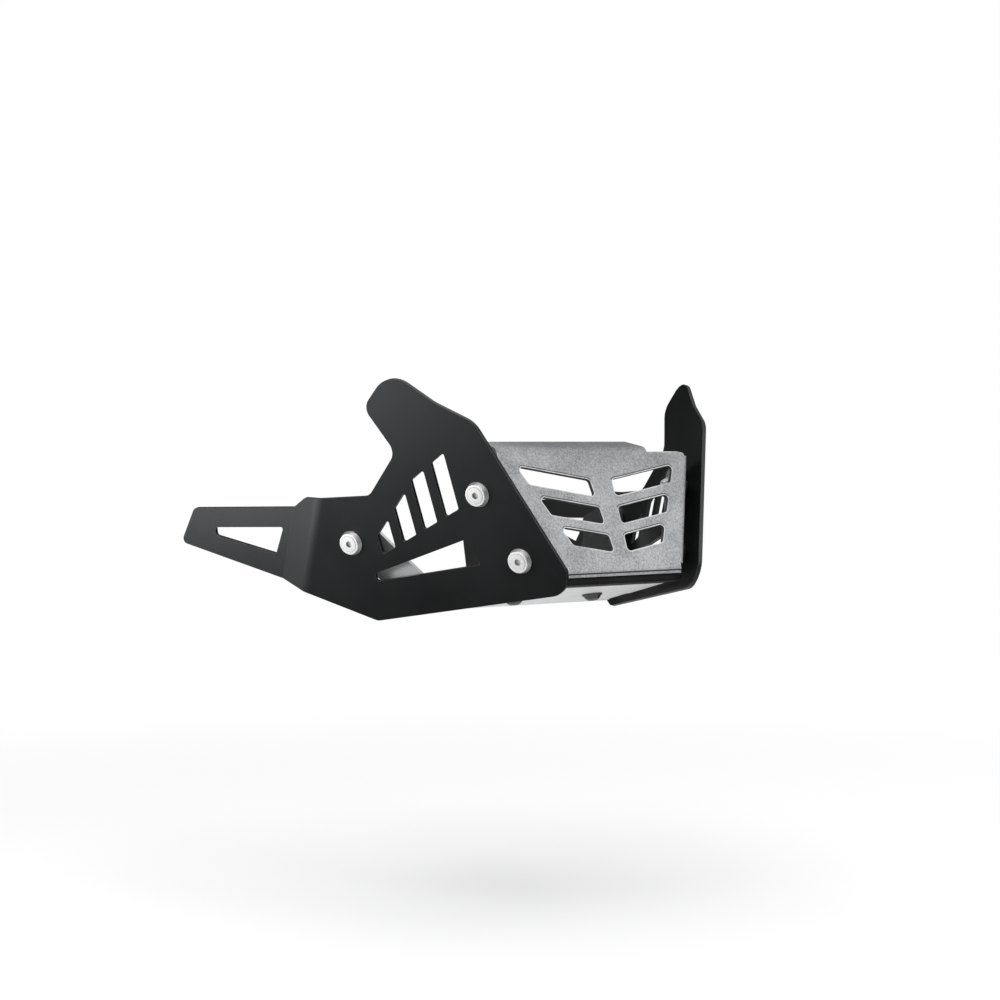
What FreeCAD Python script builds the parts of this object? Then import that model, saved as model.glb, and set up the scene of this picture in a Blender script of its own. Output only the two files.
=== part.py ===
import FreeCAD, Part
import math
import os
import Sketcher

# Engine guard of folded sheet: two leaning side plates, a slotted front panel, a base plate and brackets.
# +X is the bike's left, +Y the rear, +Z up. Lengths are millimetres and angles degrees.

doc = FreeCAD.newDocument("engine_guard")

SIZES = {
    # where the plates, panel and base stand
    "frame_y": 183.75,
    "frame_z": 0.246,
    "corner_x": 118.6,
    "corner_y": 168.4,
    "toe_deg": 21.65,
    "lean_deg": 14.5,
    "rake_deg": 23.75,
    "panel_y": 37.1,
    "panel_z": 86.0,
    "ramp_deg": 10.8,
    "base_y": 102.5,
    "base_z": 17.5,
    # sheet and clearances
    "sheet_t": 3.0,
    "spacer_len": 8.2,
    "blank_reach": 320.0,
    "fold_radius": 4.0,
    "tight_fold_radius": 1.5,
    "relief_width": 4.0,
    # side plate bends
    "bend_tilt_deg": 19.5,
    "bend_front": 68.5,
    "bend_rear": 94.4,
    "bend_in_deg": 20.0,
    "tail_deg": 10.0,
    "bend_radius": 8.0,
    # side plate outline, rearward and up the slope from the lowest corner
    "nose_run": 178.3,
    "nose_rise": 28.9,
    "brow_run": 108.1,
    "brow_rise": 154.9,
    "ridge_run": 76.7,
    "ridge_rise": 170.0,
    "crest_run": 41.1,
    "crest_rise": 194.5,
    "lobe_run": 14.8,
    "lobe_rise": 166.9,
    "notch_run": 37.3,
    "notch_rise": 132.6,
    "saddle_run": 8.3,
    "saddle_rise": 98.6,
    "step_run": 55.0,
    "step_rise": 95.0,
    "tail_start_run": 69.5,
    "tail_start_rise": 86.2,
    "tail_end_run": 182.0,
    "tail_end_rise": 78.6,
    "tail_low_run": 202.0,
    "tail_low_rise": 49.2,
    "keel_rear_run": 90.4,
    "keel_rear_rise": 28.0,
    "keel_mid_run": 63.5,
    "keel_mid_rise": 20.3,
    "nose_radius": 16.0,
    "crest_radius": 21.0,
    "ridge_radius": 30.0,
    "lobe_radius": 10.0,
    "saddle_radius": 12.0,
    "step_radius": 8.0,
    "tail_radius": 7.0,
    "tail_low_radius": 4.0,
    # side plate openings
    "louvre_run": 85.6,
    "louvre_rise": 89.9,
    "louvre_pitch": 20.0,
    "louvre_width": 12.3,
    "louvre_slant_deg": 8.7,
    "louvre_foot_deg": 27.0,
    "louvre_head_rise": 137.0,
    "louvre_head_deg": 34.2,
    "louvre_back_rise": 108.0,
    "louvre_back_deg": 48.9,
    "louvre_radius": 1.5,
    "wedge_tip_run": 3.5,
    "wedge_tip_rise": 34.6,
    "wedge_tip_half": 3.1,
    "wedge_top_run": 88.5,
    "wedge_top_rise": 66.9,
    "wedge_low_run": 98.5,
    "wedge_low_rise": 47.7,
    "tail_slot_tip_run": 160.2,
    "tail_slot_tip_rise": 60.8,
    "tail_slot_tip_half": 3.3,
    "tail_slot_top_run": 83.4,
    "tail_slot_top_rise": 69.5,
    "tail_slot_low_run": 94.7,
    "tail_slot_low_rise": 47.5,
    "slot_tip_share": 0.85,
    # bolts through the side plates
    "bolt_upper_run": 103.6,
    "bolt_upper_rise": 101.3,
    "bolt_lower_run": 132.0,
    "bolt_lower_rise": 51.6,
    "bolt_rear_run": 13.7,
    "bolt_rear_rise": 61.6,
    "bolt_radius": 3.0,
    "hole_radius": 3.3,
    "bolt_len": 27.2,
    "head_radius": 6.2,
    "head_len": 3.0,
    "key_radius": 2.3,
    "key_depth": 2.2,
    "seat_clearance": 0.3,
    "rosette_radius": 9.45,
    "rosette_face_radius": 8.0,
    "rosette_len": 4.0,
    "sleeve_radius": 7.0,
    "washer_radius": 6.0,
    "washer_t": 1.6,
    "nut_radius": 5.77,
    "nut_len": 4.8,
    "collar_radius": 4.3,
    "collar_len": 1.2,
    # front panel
    "panel_low": 49.0,
    "panel_top": 50.5,
    "panel_edge": 46.8,
    "lip_len": 4.0,
    "lip_deg": 45.0,
    "top_flange_len": 24.0,
    "top_flange_rise_deg": 10.0,
    "top_flange_end": 54.0,
    "panel_corner_run": 82.0,
    "panel_corner_radius": 35.0,
    "panel_corner_deg": 26.0,
    "end_flange_len": 38.0,
    "end_flange_low": 44.8,
    "end_flange_high": 43.2,
    "end_flange_radius": 6.0,
    "vent_rise": 22.3,
    "vent_pitch": 22.0,
    "vent_height": 13.6,
    "vent_drop_deg": 10.0,
    "vent_inner": 9.1,
    "vent_inner_deg": 4.2,
    "vent_outer": 58.4,
    "vent_outer_deg": 27.75,
    "vent_radius": 3.0,
    # base plate and the trim on its front edge
    "base_front": 77.0,
    "base_rear": 63.5,
    "base_rise_deg": 28.95,
    "base_rise_len": 58.0,
    "base_bolt_x": 39.0,
    "ear_front_run": 56.0,
    "ear_back_run": 22.0,
    "ear_reach": 12.0,
    "ear_neck": 8.0,
    "ear_radius": 8.0,
    "trim_half": 57.8,
    "trim_front": 7.0,
    "trim_depth": 15.0,
    "trim_wall": 1.5,
    "trim_radius": 1.5,
    # engine brackets and the base bolts
    "bracket_t": 4.0,
    "bracket_half": 25.0,
    "foot_inner": 26.0,
    "bracket_x": 62.0,
    "bracket_high": 66.0,
    "bracket_radius": 10.0,
    "engine_hole_half": 15.0,
    "engine_hole_z": 66.0,
    "engine_hole_radius": 4.5,
    "base_bolt_radius": 4.0,
    "base_hole_radius": 4.5,
    "base_head_radius": 7.0,
    "base_head_len": 4.4,
    "base_key_radius": 2.9,
    "base_key_depth": 2.6,
    "base_washer_radius": 8.0,
    "base_nut_radius": 7.5,
    "base_nut_len": 6.5,
    "base_bolt_len": 20.0,
}

sheet = doc.addObject("Spreadsheet::Sheet", "Sheet")
for row, (alias, number) in enumerate(SIZES.items(), start=1):
    sheet.set(f"A{row}", alias)
    sheet.set(f"B{row}", str(number))
    sheet.setAlias(f"B{row}", alias)
doc.recompute()


class Size:
    """A number together with the sheet expression that drives it."""

    def __init__(self, value, text):
        self.value = value
        self.text = text

    def __add__(self, other):
        other = size(other)
        return Size(self.value + other.value, f"({self.text} + {other.text})")

    def __radd__(self, other):
        return size(other) + self

    def __sub__(self, other):
        other = size(other)
        return Size(self.value - other.value, f"({self.text} - {other.text})")

    def __rsub__(self, other):
        return size(other) - self

    def __mul__(self, other):
        other = size(other)
        return Size(self.value * other.value, f"({self.text} * {other.text})")

    def __rmul__(self, other):
        return size(other) * self

    def __truediv__(self, other):
        other = size(other)
        return Size(self.value / other.value, f"({self.text} / {other.text})")

    def __neg__(self):
        return Size(-self.value, f"(0 - {self.text})")


def size(number):
    return number if isinstance(number, Size) else Size(float(number), f"({number})")


def sheet_size(alias):
    return Size(float(sheet.get(alias)), f"Sheet.{alias}")


def sin_deg(angle):
    return Size(math.sin(math.radians(angle.value)), f"sin({angle.text})")


def cos_deg(angle):
    return Size(math.cos(math.radians(angle.value)), f"cos({angle.text})")


def tan_deg(angle):
    return Size(math.tan(math.radians(angle.value)), f"tan({angle.text})")


S = {alias: sheet_size(alias) for alias in SIZES}


def vector_text(x, y, z):
    return f"vector({size(x).text}; {size(y).text}; {size(z).text})"


def turn_text(axis, angle):
    return f"rotation(vector({axis[0]}; {axis[1]}; {axis[2]}); {size(angle).text})"


def placement_text(x=0, y=0, z=0, turns=((0, 0, 1), 0)):
    pairs = list(zip(turns[::2], turns[1::2]))
    return f"placement({vector_text(x, y, z)}; {' * '.join(turn_text(a, d) for a, d in pairs)})"


X_AXIS, Y_AXIS, Z_AXIS = (1, 0, 0), (0, 1, 0), (0, 0, 1)
t = S["sheet_t"]
reach = S["blank_reach"]
fold = S["fold_radius"]
gap = t + S["spacer_len"]
toe, lean, rake, ramp = S["toe_deg"], S["lean_deg"], S["rake_deg"], S["ramp_deg"]
corner_y = S["corner_y"] - S["frame_y"]
panel_y = S["panel_y"] - S["frame_y"]
base_y = S["base_y"] - S["frame_y"]
corner_z = -S["frame_z"]
panel_z = S["panel_z"] - S["frame_z"]
base_z = S["base_z"] - S["frame_z"]

# In a plate's frame X runs rearward and Y up its slope; Z points inward on the right and outward on the left.
PLATE = {
    "right": placement_text(-S["corner_x"], corner_y, corner_z, (Z_AXIS, 90 + toe, X_AXIS, 90 - lean)),
    "left": placement_text(S["corner_x"], corner_y, corner_z, (Z_AXIS, 90 - toe, X_AXIS, 90 + lean)),
}
INWARD = {"right": 1, "left": -1}
PANEL = placement_text(0, panel_y, panel_z, (X_AXIS, 90 - rake))
PANEL_INVERSE = placement_text(0, 0, 0, (X_AXIS, rake - 90)) + " * " + placement_text(0, -panel_y, -panel_z)
BASE = placement_text(0, base_y, base_z, (X_AXIS, -ramp))
BASE_INVERSE = placement_text(0, 0, 0, (X_AXIS, ramp)) + " * " + placement_text(0, -base_y, -base_z)
ALONG_X = placement_text(0, 0, 0, ((1, 1, 1), 120))


def new_body(label, placement):
    body = doc.addObject("PartDesign::Body", label)
    body.Label = label
    body.setExpression("Placement", placement)
    return body


def new_sketch(body, name, placement=None):
    sketch = body.newObject("Sketcher::SketchObject", name)
    if placement:
        sketch.setExpression("Placement", placement)
    doc.recompute()
    return sketch


def pin_point(sketch, geo, end, x, y):
    for kind, number in (("DistanceX", size(x)), ("DistanceY", size(y))):
        index = sketch.addConstraint(Sketcher.Constraint(kind, -1, 1, geo, end, number.value))
        sketch.setExpression(f"Constraints[{index}]", number.text)


def add_polygon(sketch, points):
    points = [(size(x), size(y)) for x, y in points]
    corners = [FreeCAD.Vector(x.value, y.value, 0) for x, y in points]
    count = len(points)
    first = sketch.GeometryCount
    for i in range(count):
        sketch.addGeometry(Part.LineSegment(corners[i], corners[(i + 1) % count]), False)
    for i in range(count):
        sketch.addConstraint(Sketcher.Constraint("Coincident", first + i, 2, first + (i + 1) % count, 1))
    for i, (x, y) in enumerate(points):
        pin_point(sketch, first + i, 1, x, y)


def add_circle(sketch, x, y, radius):
    centre = FreeCAD.Vector(size(x).value, size(y).value, 0)
    geo = sketch.addGeometry(Part.Circle(centre, FreeCAD.Vector(0, 0, 1), radius.value), False)
    pin_point(sketch, geo, 3, x, y)
    index = sketch.addConstraint(Sketcher.Constraint("Radius", geo, radius.value))
    sketch.setExpression(f"Constraints[{index}]", radius.text)


def add_pad(body, name, sketch, length, symmetric=False, reverse=False):
    pad = body.newObject("PartDesign::Pad", name)
    pad.Profile = sketch
    pad.SideType = "Symmetric" if symmetric else "One side"
    pad.Reversed = reverse
    pad.setExpression("Length", size(length).text)
    doc.recompute()
    return pad


def add_pocket(body, name, sketch, length, symmetric=False, reverse=False):
    pocket = body.newObject("PartDesign::Pocket", name)
    pocket.Profile = sketch
    pocket.SideType = "Symmetric" if symmetric else "One side"
    pocket.Reversed = reverse
    pocket.setExpression("Length", size(length).text)
    doc.recompute()
    return pocket


def add_fillet(body, name, edges, radius):
    fillet = body.newObject("PartDesign::Fillet", name)
    fillet.Base = (body.Tip if body.Tip != fillet else fillet.BaseFeature, edges)
    fillet.setExpression("Radius", size(radius).text)
    doc.recompute()
    return fillet


def edges_through(body, points, direction, touching=False):
    """Names of the tip's straight edges along a direction, on lines through the points or touching them."""
    direction = FreeCAD.Vector(*direction).normalize()
    near = 0.05
    names = []
    for point in points:
        point = FreeCAD.Vector(*point)
        for number, edge in enumerate(body.Tip.Shape.Edges, start=1):
            if edge.Curve.TypeId != "Part::GeomLine":
                continue
            along = edge.tangentAt(edge.FirstParameter)
            offset = edge.valueAt(edge.FirstParameter) - point
            if along.cross(direction).Length > 1e-4 or offset.cross(direction).Length > near:
                continue
            if touching and edge.distToShape(Part.Vertex(point))[0] > near:
                continue
            names.append(f"Edge{number}")
    return sorted(set(names))


def square(half):
    return [(-half, -half), (half, -half), (half, half), (-half, half)]


def values(*numbers):
    return tuple(size(n).value for n in numbers)


# Side plates: a strip bent twice about leaning lines, then cut to the outline and slotted.
def louvre(index):
    slant = tan_deg(S["louvre_slant_deg"])
    foot = tan_deg(S["louvre_foot_deg"])
    early = index < 2
    head = tan_deg(S["louvre_head_deg"] if early else S["louvre_back_deg"])
    start = S["louvre_run"] if early else S["louvre_run"] - S["louvre_pitch"] * 2
    head_rise = S["louvre_head_rise"] if early else S["louvre_back_rise"]
    corners = []
    for across in (0, 1):
        run = S["louvre_pitch"] * index + S["louvre_width"] * across - S["louvre_run"]
        low = S["louvre_rise"] - foot * (run + S["louvre_run"])
        high = (head_rise - head * (run - low * slant + start)) / (1 + head * slant)
        corners.append(((run, low), (run + (high - low) * slant, high)))
    return [corners[0][0], corners[1][0], corners[1][1], corners[0][1]]


def side_plate(label):
    body = new_body(label, PLATE["right"])
    bend, tail = S["bend_in_deg"], S["tail_deg"]
    mid_deg, half_deg = (bend + tail) / 2, (bend - tail) / 2
    front, rear = S["bend_front"], S["bend_rear"]
    rear_z = (rear - front) * tan_deg(bend)
    end_z = rear_z + (reach - rear) * tan_deg(tail)
    inner_front = front - t * tan_deg(bend / 2)
    inner_rear = rear - t * sin_deg(mid_deg) / cos_deg(half_deg)
    inner_rear_z = rear_z + t * cos_deg(mid_deg) / cos_deg(half_deg)
    profile = new_sketch(
        body, "plate_profile", placement_text(0, 0, 0, (Z_AXIS, S["bend_tilt_deg"], X_AXIS, 90))
    )
    add_polygon(profile, [
        (-reach, 0), (front, 0), (rear, rear_z), (reach, end_z), (reach, end_z + t / cos_deg(tail)),
        (inner_rear, inner_rear_z), (inner_front, t), (-reach, t),
    ])
    add_pad(body, "plate_strip", profile, reach * 2, symmetric=True)

    tilt = math.radians(S["bend_tilt_deg"].value)
    along = (-math.sin(tilt), math.cos(tilt), 0)

    def on_strip(q, z):
        return (q.value * math.cos(tilt), q.value * math.sin(tilt), z.value)

    inner_edges = edges_through(body, [on_strip(inner_front, t), on_strip(rear, rear_z)], along)
    add_fillet(body, "bend_inside", inner_edges, S["bend_radius"])
    outer_edges = edges_through(
        body, [on_strip(front, size(0)), on_strip(inner_rear, inner_rear_z)], along
    )
    add_fillet(body, "bend_outside", outer_edges, S["bend_radius"] + t)

    corner = {
        "low": (size(0), size(0)),
        "nose": (-S["nose_run"], S["nose_rise"]),
        "brow": (-S["brow_run"], S["brow_rise"]),
        "ridge": (-S["ridge_run"], S["ridge_rise"]),
        "crest": (-S["crest_run"], S["crest_rise"]),
        "lobe": (-S["lobe_run"], S["lobe_rise"]),
        "notch": (-S["notch_run"], S["notch_rise"]),
        "saddle": (-S["saddle_run"], S["saddle_rise"]),
        "step": (S["step_run"], S["step_rise"]),
        "tail_start": (S["tail_start_run"], S["tail_start_rise"]),
        "tail_end": (S["tail_end_run"], S["tail_end_rise"]),
        "tail_low": (S["tail_low_run"], S["tail_low_rise"]),
        "keel_rear": (S["keel_rear_run"], S["keel_rear_rise"]),
        "keel_mid": (S["keel_mid_run"], S["keel_mid_rise"]),
    }
    outline = new_sketch(body, "plate_outline")
    add_polygon(outline, square(reach * 2))
    add_polygon(outline, list(corner.values()))
    add_pocket(body, "plate_cut", outline, reach * 2, symmetric=True)

    rounds = {"nose_radius": ("nose",), "crest_radius": ("brow", "crest"), "ridge_radius": ("ridge",),
              "lobe_radius": ("low", "lobe", "notch"), "saddle_radius": ("saddle",),
              "step_radius": ("step",), "tail_radius": ("tail_end",), "tail_low_radius": ("tail_low",)}
    for alias, names in rounds.items():
        points = [values(*corner[name], 0) for name in names]
        add_fillet(body, f"outline_{alias}", edges_through(body, points, Z_AXIS), S[alias])

    louvres = [louvre(index) for index in range(4)]
    tip_x, tip_y, tip = -S["wedge_tip_run"], S["wedge_tip_rise"], S["wedge_tip_half"]
    wedge = [(tip_x, tip_y - tip), (tip_x, tip_y + tip), (-S["wedge_top_run"], S["wedge_top_rise"]),
             (-S["wedge_low_run"], S["wedge_low_rise"])]
    end_x, end_y, end = S["tail_slot_tip_run"], S["tail_slot_tip_rise"], S["tail_slot_tip_half"]
    tail_slot = [(end_x, end_y - end), (end_x, end_y + end),
                 (S["tail_slot_top_run"], S["tail_slot_top_rise"]),
                 (S["tail_slot_low_run"], S["tail_slot_low_rise"])]
    openings = new_sketch(body, "plate_openings")
    for shape in louvres + [wedge, tail_slot]:
        add_polygon(openings, shape)
    for name in ("upper", "lower", "rear"):
        add_circle(openings, *bolt_spot(name), S["hole_radius"])
    add_pocket(body, "plate_openings_cut", openings, reach * 2, symmetric=True)

    sharp = [point for shape in louvres for point in shape] + wedge[2:] + tail_slot[2:]
    add_fillet(body, "opening_round", edges_through(body, [values(*p, 0) for p in sharp], Z_AXIS),
               S["louvre_radius"])
    for name, points, half in (("wedge_tip", wedge[:2], tip), ("tail_slot_tip", tail_slot[:2], end)):
        add_fillet(body, name, edges_through(body, [values(*p, 0) for p in points], Z_AXIS),
                   half * S["slot_tip_share"])
    return body


def bolt_spot(name):
    sign = 1 if name == "rear" else -1
    return S[f"bolt_{name}_run"] * sign, S[f"bolt_{name}_rise"]


def mirror(label, source):
    copy = doc.addObject("Part::Mirroring", label)
    copy.Label = label
    copy.Source = source
    copy.Normal = FreeCAD.Vector(1, 0, 0)
    copy.Base = FreeCAD.Vector(0, 0, 0)
    doc.recompute()
    return copy


def in_plate(side, z, inverse):
    """Placement of a sketch laid parallel to a side plate, a given depth inside its outer face."""
    return f"{inverse} * {PLATE[side]} * {placement_text(0, 0, size(z) * INWARD[side])}"


def trim_to_gap(body, inverse):
    """Cuts a cross piece off where it would come closer to the side plates than their spacers."""
    for side in ("right", "left"):
        sketch = new_sketch(body, f"side_limit_{side}", in_plate(side, gap, inverse))
        add_polygon(sketch, square(reach * 2))
        add_pocket(body, f"side_trim_{side}", sketch, reach, reverse=side == "left")


class Fold:
    """The line where a tilted sheet meets the planes through the spacers' inner ends."""

    def __init__(self, tilt, sheet_y, sheet_z):
        # the sheet's own Y and Z directions have no X part, so both follow from its tilt about X
        self.run_y, self.run_z = cos_deg(tilt), sin_deg(tilt)
        self.y, self.z = sheet_y - corner_y, sheet_z - corner_z
        self.in_x, self.in_y, self.in_z = (
            cos_deg(toe) * cos_deg(lean), sin_deg(toe) * cos_deg(lean), sin_deg(lean))

    def side(self, along, up=0):
        """Half width of the sheet at a place along its Y, on a level above its face."""
        y = self.y + self.run_y * along - self.run_z * up
        z = self.z + self.run_z * along + self.run_y * up
        return S["corner_x"] - (gap - self.in_y * y - self.in_z * z) / self.in_x

    def in_plate(self, along, up=0):
        """The same point in the directions of the side plate: its run and its rise."""
        x = S["corner_x"] - self.side(along, up)
        y = self.y + self.run_y * along - self.run_z * up
        z = self.z + self.run_z * along + self.run_y * up
        run = cos_deg(toe) * y - sin_deg(toe) * x
        rise = cos_deg(lean) * z - sin_deg(lean) * (cos_deg(toe) * x + sin_deg(toe) * y)
        return run, rise

    def corner(self, along, up, depth, sign):
        """Position of a fold corner in the sheet's frame, moved inward by a depth, and its direction."""
        near, far = (self.side(a, up) - depth / self.in_x for a in (along, along + 1))
        return (sign * near.value, size(along).value, size(up).value), (sign * (far - near).value, 1, 0)


def round_corners(body, name, corners, radius):
    """Rounds the free corners of a flange on each side, given by their run and rise along the plate."""
    names = []
    to_body = body.Placement.inverse()
    middle = (gap + t / 2).value
    for run, rise in corners:
        for sign in (1, -1):
            spot = right_plate.Placement.multVec(FreeCAD.Vector(run.value, rise.value, middle))
            spot.x *= sign
            spot = to_body.multVec(spot)
            for number, edge in enumerate(body.Tip.Shape.Edges, start=1):
                if edge.Length < t.value * 1.5 and (edge.CenterOfMass - spot).Length < t.value / 2:
                    names.append(f"Edge{number}")
    add_fillet(body, name, sorted(set(names)), radius)


def round_folds(body, name, fold_line, along, inner_up, outer_up):
    """Rounds the two side folds of a sheet, on the inside and then the outside of the bend."""
    for kind, up, depth, radius in (
        ("inside", inner_up, t, S["tight_fold_radius"]),
        ("outside", outer_up, size(0), S["tight_fold_radius"] + t),
    ):
        edges = []
        for sign in (-1, 1):
            spot, direction = fold_line.corner(along, up, depth, sign)
            edges += edges_through(body, [spot], direction, touching=True)
        add_fillet(body, f"{name}_{kind}", edges, radius)


# Front panel: lip, slotted face and top flange in one folded profile, with end flanges along the plates.
def front_panel(label):
    body = new_body(label, PANEL)
    lip, rise = S["lip_deg"], rake + S["top_flange_rise_deg"]
    low, top = -S["panel_low"], S["panel_top"]
    turn = 90 - rise
    lip_end = (low - S["lip_len"] * cos_deg(lip), -S["lip_len"] * sin_deg(lip))
    flange_end = (top + S["top_flange_len"] * sin_deg(rise), -S["top_flange_len"] * cos_deg(rise))
    back_low = (low + t * tan_deg(lip / 2), -t)
    back_top = (top - t * tan_deg(turn / 2), -t)
    profile = new_sketch(body, "panel_profile", ALONG_X)
    add_polygon(profile, [
        lip_end, (low, 0), (top, 0), flange_end,
        (flange_end[0] - t * cos_deg(rise), flange_end[1] - t * sin_deg(rise)),
        back_top, back_low, (lip_end[0] + t * sin_deg(lip), lip_end[1] - t * cos_deg(lip)),
    ])
    add_pad(body, "panel_strip", profile, reach, symmetric=True)
    lip_fold = S["tight_fold_radius"]
    for name, spot, radius in (
        ("lip_inside", back_low, lip_fold), ("lip_outside", (low, 0), lip_fold + t),
        ("top_inside", back_top, fold), ("top_outside", (top, 0), fold + t),
    ):
        add_fillet(body, name, edges_through(body, [(0,) + values(*spot)], X_AXIS), radius)
    trim_to_gap(body, PANEL_INVERSE)

    ends = Fold(90 - rake, panel_y, panel_z)
    low_end, high_end, depth = -S["end_flange_low"], S["end_flange_high"], S["end_flange_len"]
    below, above = low_end - S["relief_width"] * 2, high_end + S["relief_width"] * 2
    root_low, root_high = ends.in_plate(below, -t / 2), ends.in_plate(above, -t / 2)
    flange = [root_low, root_high, (root_high[0] + depth, root_high[1]), (root_low[0] + depth, root_low[1])]
    for side in ("right", "left"):
        sketch = new_sketch(body, f"end_flange_sketch_{side}", in_plate(side, gap, PANEL_INVERSE))
        add_polygon(sketch, flange)
        for name in ("upper", "lower"):
            add_circle(sketch, *bolt_spot(name), S["hole_radius"])
        add_pad(body, f"end_flange_{side}", sketch, t, reverse=side == "left")

    # reliefs end the lip and the top flange short of the side folds
    reliefs = new_sketch(body, "relief_sketch")
    for sign in (-1, 1):
        for level, far in ((low_end, -reach), (high_end, reach)):
            inner = (ends.side(level) - S["relief_width"]) * sign
            add_polygon(reliefs, [(inner, level), (reach * sign, level), (reach * sign, far), (inner, far)])
    add_pocket(body, "reliefs", reliefs, reach, symmetric=True)
    round_folds(body, "end_fold", ends, size(0), -t, size(0))
    slope = depth * cos_deg(toe) * sin_deg(rake)
    free = [ends.in_plate(level - slope, -t / 2) for level in (low_end, high_end)]
    round_corners(body, "end_flange_round", [(run + depth, rise) for run, rise in free],
                  S["end_flange_radius"])

    vents = new_sketch(body, "vent_sketch")
    sharp = []
    for index in range(3):
        for sign in (-1, 1):
            shape = [(x * sign, y) for x, y in vent(index)]
            add_polygon(vents, shape)
            sharp += shape
    add_pocket(body, "vents", vents, t * 2, symmetric=True)
    add_fillet(body, "vent_round", edges_through(body, [values(*p, 0) for p in sharp], Z_AXIS),
               S["vent_radius"])

    # left of the top flange the panel ends in a plain edge that curves down to the end flange
    start, edge = S["top_flange_end"], S["panel_edge"]
    corner, radius, bend = S["panel_corner_run"], S["panel_corner_radius"], S["panel_corner_deg"]
    cut = new_sketch(body, "corner_sketch")
    low_edge = edge - radius * (1 - cos_deg(bend))
    points = [(start, edge), (corner, edge), (corner + radius * sin_deg(bend), low_edge),
              (reach, low_edge), (reach, reach), (start, reach)]
    spots = [FreeCAD.Vector(*values(*p), 0) for p in points]
    circle = Part.Circle(FreeCAD.Vector(*values(corner, edge - radius), 0), FreeCAD.Vector(0, 0, 1),
                         radius.value)
    cut.addGeometry(Part.LineSegment(spots[0], spots[1]), False)
    cut.addGeometry(Part.ArcOfCircle(circle, math.pi / 2 - math.radians(bend.value), math.pi / 2), False)
    for i in range(2, 6):
        cut.addGeometry(Part.LineSegment(spots[i], spots[(i + 1) % 6]), False)
    joins = ((0, 2, 1, 2), (1, 1, 2, 1), (2, 2, 3, 1), (3, 2, 4, 1), (4, 2, 5, 1), (5, 2, 0, 1))
    for join_ends in joins:
        cut.addConstraint(Sketcher.Constraint("Coincident", *join_ends))
    for geo, point in zip((0, 2, 3, 4, 5), (points[0], *points[2:])):
        pin_point(cut, geo, 1, *point)
    pin_point(cut, 0, 2, *points[1])
    index = cut.addConstraint(Sketcher.Constraint("Radius", 1, radius.value))
    cut.setExpression(f"Constraints[{index}]", radius.text)
    add_pocket(body, "corner_cut", cut, reach, symmetric=True)
    return body


def vent(index):
    drop, inner, outer = (tan_deg(S[n]) for n in ("vent_drop_deg", "vent_inner_deg", "vent_outer_deg"))
    corners = []
    for level in (0, 1):
        # height on the centre line, then where the sloping edge meets the inner and the outer end lines
        mid = S["vent_rise"] - S["vent_pitch"] * index - S["vent_height"] * level
        x_in = (S["vent_inner"] + inner * mid) / (1 - inner * drop)
        x_out = (S["vent_outer"] + outer * mid) / (1 - outer * drop)
        corners.append(((x_in, mid + drop * x_in), (x_out, mid + drop * x_out)))
    return [corners[0][0], corners[0][1], corners[1][1], corners[1][0]]


def ear_root(ears, run):
    """Place along the base plate's ramp that lies at a given run of the side plate."""
    first, second = ears.in_plate(size(0))[0], ears.in_plate(size(1))[0]
    return (run - first) / (second - first)


# Base plate: a ramp that rises to the front and a shorter one to the rear, with an ear to each rear bolt.
def base_plate(label):
    body = new_body(label, BASE)
    front, rear, rise = -S["base_front"], S["base_rear"], S["base_rise_deg"]
    end = (rear + S["base_rise_len"] * cos_deg(rise), S["base_rise_len"] * sin_deg(rise))
    profile = new_sketch(body, "base_profile", ALONG_X)
    add_polygon(profile, [
        (front, 0), (rear, 0), end, (end[0] - t * sin_deg(rise), end[1] + t * cos_deg(rise)),
        (rear - t * tan_deg(rise / 2), t), (front, t),
    ])
    add_pad(body, "base_strip", profile, reach * 2, symmetric=True)
    inside = (0,) + values(rear - t * tan_deg(rise / 2), t)
    add_fillet(body, "base_bend_inside", edges_through(body, [inside], X_AXIS), fold)
    add_fillet(body, "base_bend_outside", edges_through(body, [(0,) + values(rear, 0)], X_AXIS), fold + t)
    trim_to_gap(body, BASE_INVERSE)

    ears = Fold(-ramp, base_y, base_z)
    spot_x, spot_y = bolt_spot("rear")
    around = S["ear_reach"]
    ear_front, ear_back = ear_root(ears, -S["ear_front_run"]), ear_root(ears, -S["ear_back_run"])
    slit, neck = S["relief_width"], S["ear_neck"]
    tip = [(spot_x + around, spot_y - around), (spot_x + around, spot_y + around),
           (spot_x - around, spot_y + around)]
    ear = [ears.in_plate(ear_front, t / 2), ears.in_plate(ear_back, t / 2), ears.in_plate(ear_back, neck),
           *tip, ears.in_plate(ear_front, neck)]
    for side in ("right", "left"):
        sketch = new_sketch(body, f"ear_sketch_{side}", in_plate(side, gap, BASE_INVERSE))
        add_polygon(sketch, ear)
        add_circle(sketch, spot_x, spot_y, S["hole_radius"])
        add_pad(body, f"ear_{side}", sketch, t, reverse=side == "left")

        # slits each side of the ear's root, so that only the ear is folded up
        slits = new_sketch(body, f"slit_sketch_{side}", in_plate(side, gap, BASE_INVERSE))
        for near, far in ((ear_front, ear_front - slit), (ear_back, ear_back + slit)):
            add_polygon(slits, [ears.in_plate(along, up) for along, up in (
                (near, -t), (far, -t), (far, t * 2), (near, t * 2))])
        add_pocket(body, f"slits_{side}", slits, slit * 2, reverse=side == "right")
    round_folds(body, "ear_fold", ears, (ear_front + ear_back) / 2, t, size(0))
    round_corners(body, "ear_round", tip, S["ear_radius"])

    holes = new_sketch(body, "base_holes")
    for sign in (-1, 1):
        add_circle(holes, S["base_bolt_x"] * sign, 0, S["base_hole_radius"])
    add_pocket(body, "base_bolt_holes", holes, t * 4, symmetric=True)
    return body


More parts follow.
